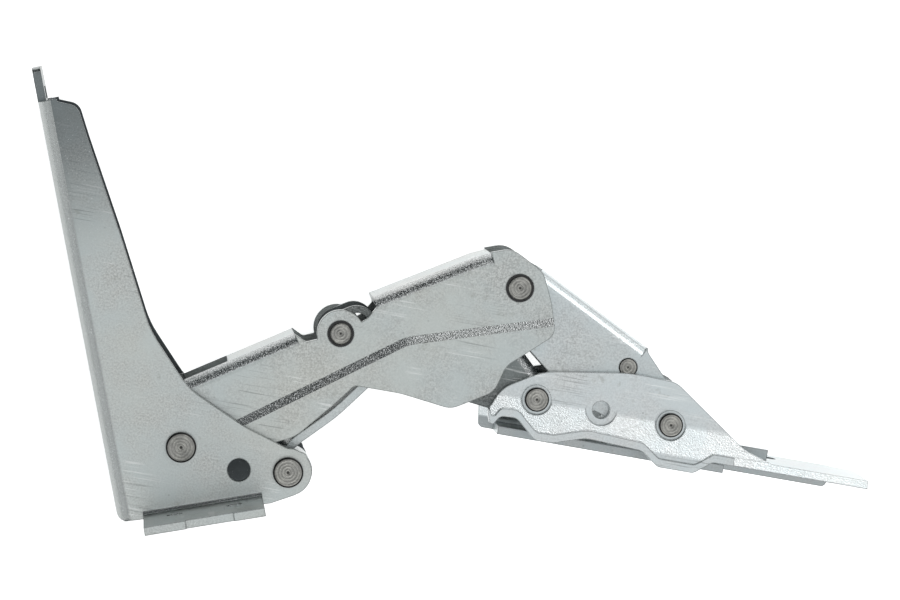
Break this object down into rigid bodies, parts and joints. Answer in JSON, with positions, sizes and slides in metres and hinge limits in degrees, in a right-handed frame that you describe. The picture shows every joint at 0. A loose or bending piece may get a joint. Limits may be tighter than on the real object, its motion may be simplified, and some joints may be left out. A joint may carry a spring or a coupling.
{
  "type": "concealed multi-link door hinge",
  "caption": "Concealed multi-link hinge of pressed plated steel for a built-in appliance door, shown wide open: door bracket, long arm, links and flared appliance bracket on riveted pins.",
  "frame": {"origin": "on the appliance bracket's mounting plane, midway between its cheeks, close to the pin that carries the outer link", "axes": "+Z along the hinge pins towards the side the door bracket's foot flange sticks out; +Y out of the mounting face towards the door; +X along the mounting face towards the tongue"},
  "size_m": [0.1629, 0.0779, 0.041],
  "materials": {
    "plated_sheet": "zinc-plated pressed steel sheet, semi-gloss with fine mottling and scratches",
    "dull_sheet": "zinc-plated sheet, duller and darker, mottled",
    "turned_pin": "turned steel pin end with lathe rings, dull",
    "black_plastic": "black plastic bush, matte",
    "washer_steel": "zinc-plated washer",
    "collar_steel": "plain steel spacer tube, slightly oily"
  },
  "bodies": {
    "appliance_side": {"appliance_bracket": "plated_sheet", "pin_fixed_cross": "turned_pin", "pin_fixed_link": "turned_pin", "washers_fixed_cross": "washer_steel", "washers_fixed_link": "washer_steel", "collar_fixed_cross": "collar_steel", "collar_fixed_link": "collar_steel"},
    "link": {"outer_link": "plated_sheet", "pin_link_lever": "turned_pin", "collar_arm_link": "collar_steel"},
    "cross": {"cross_link": "dull_sheet"},
    "arm": {"outer_arm": "plated_sheet", "pin_arm_cross": "turned_pin", "pin_arm_link": "turned_pin", "bushes_arm_cross": "black_plastic", "bushes_arm_link": "black_plastic", "collar_door_arm": "collar_steel"},
    "lever": {"inner_lever": "plated_sheet"},
    "door_side": {"door_bracket": "plated_sheet", "pin_door_arm": "turned_pin", "pin_door_lever": "turned_pin", "spacers_door_lever": "collar_steel"}
  },
  "joints": [
    {"name": "close", "type": "hinge", "parent": "appliance_side", "child": "link", "pos_m": [-0.0004, 0.0078, 0], "axis": [0, 0, -1], "range_deg": [0, 89.33]},
    {"name": "cross_turn", "type": "hinge", "parent": "appliance_side", "child": "cross", "pos_m": [-0.0254, 0.0082, 0], "axis": [0, 0, -1], "range_deg": [0, 98.71]},
    {"name": "arm_turn", "type": "hinge", "parent": "link", "child": "arm", "pos_m": [-0.032, 0.0276, 0], "axis": [0, 0, -1], "range_deg": [-57.37, 0]},
    {"name": "door_turn", "type": "hinge", "parent": "arm", "child": "door_side", "pos_m": [-0.0875, -0.0112, 0], "axis": [0, 0, -1], "range_deg": [0, 78.04]},
    {"name": "lever_turn", "type": "hinge", "parent": "link", "child": "lever", "pos_m": [-0.0097, 0.0167, 0], "axis": [0, 0, -1], "range_deg": [-62.08, 0]}
  ],
  "couplings": [
    {"joint": "cross_turn", "follows": "close", "ratio": 1.1049},
    {"joint": "arm_turn", "follows": "close", "ratio": -0.64211},
    {"joint": "door_turn", "follows": "close", "ratio": 0.8735},
    {"joint": "lever_turn", "follows": "close", "ratio": -0.6948}
  ]
}
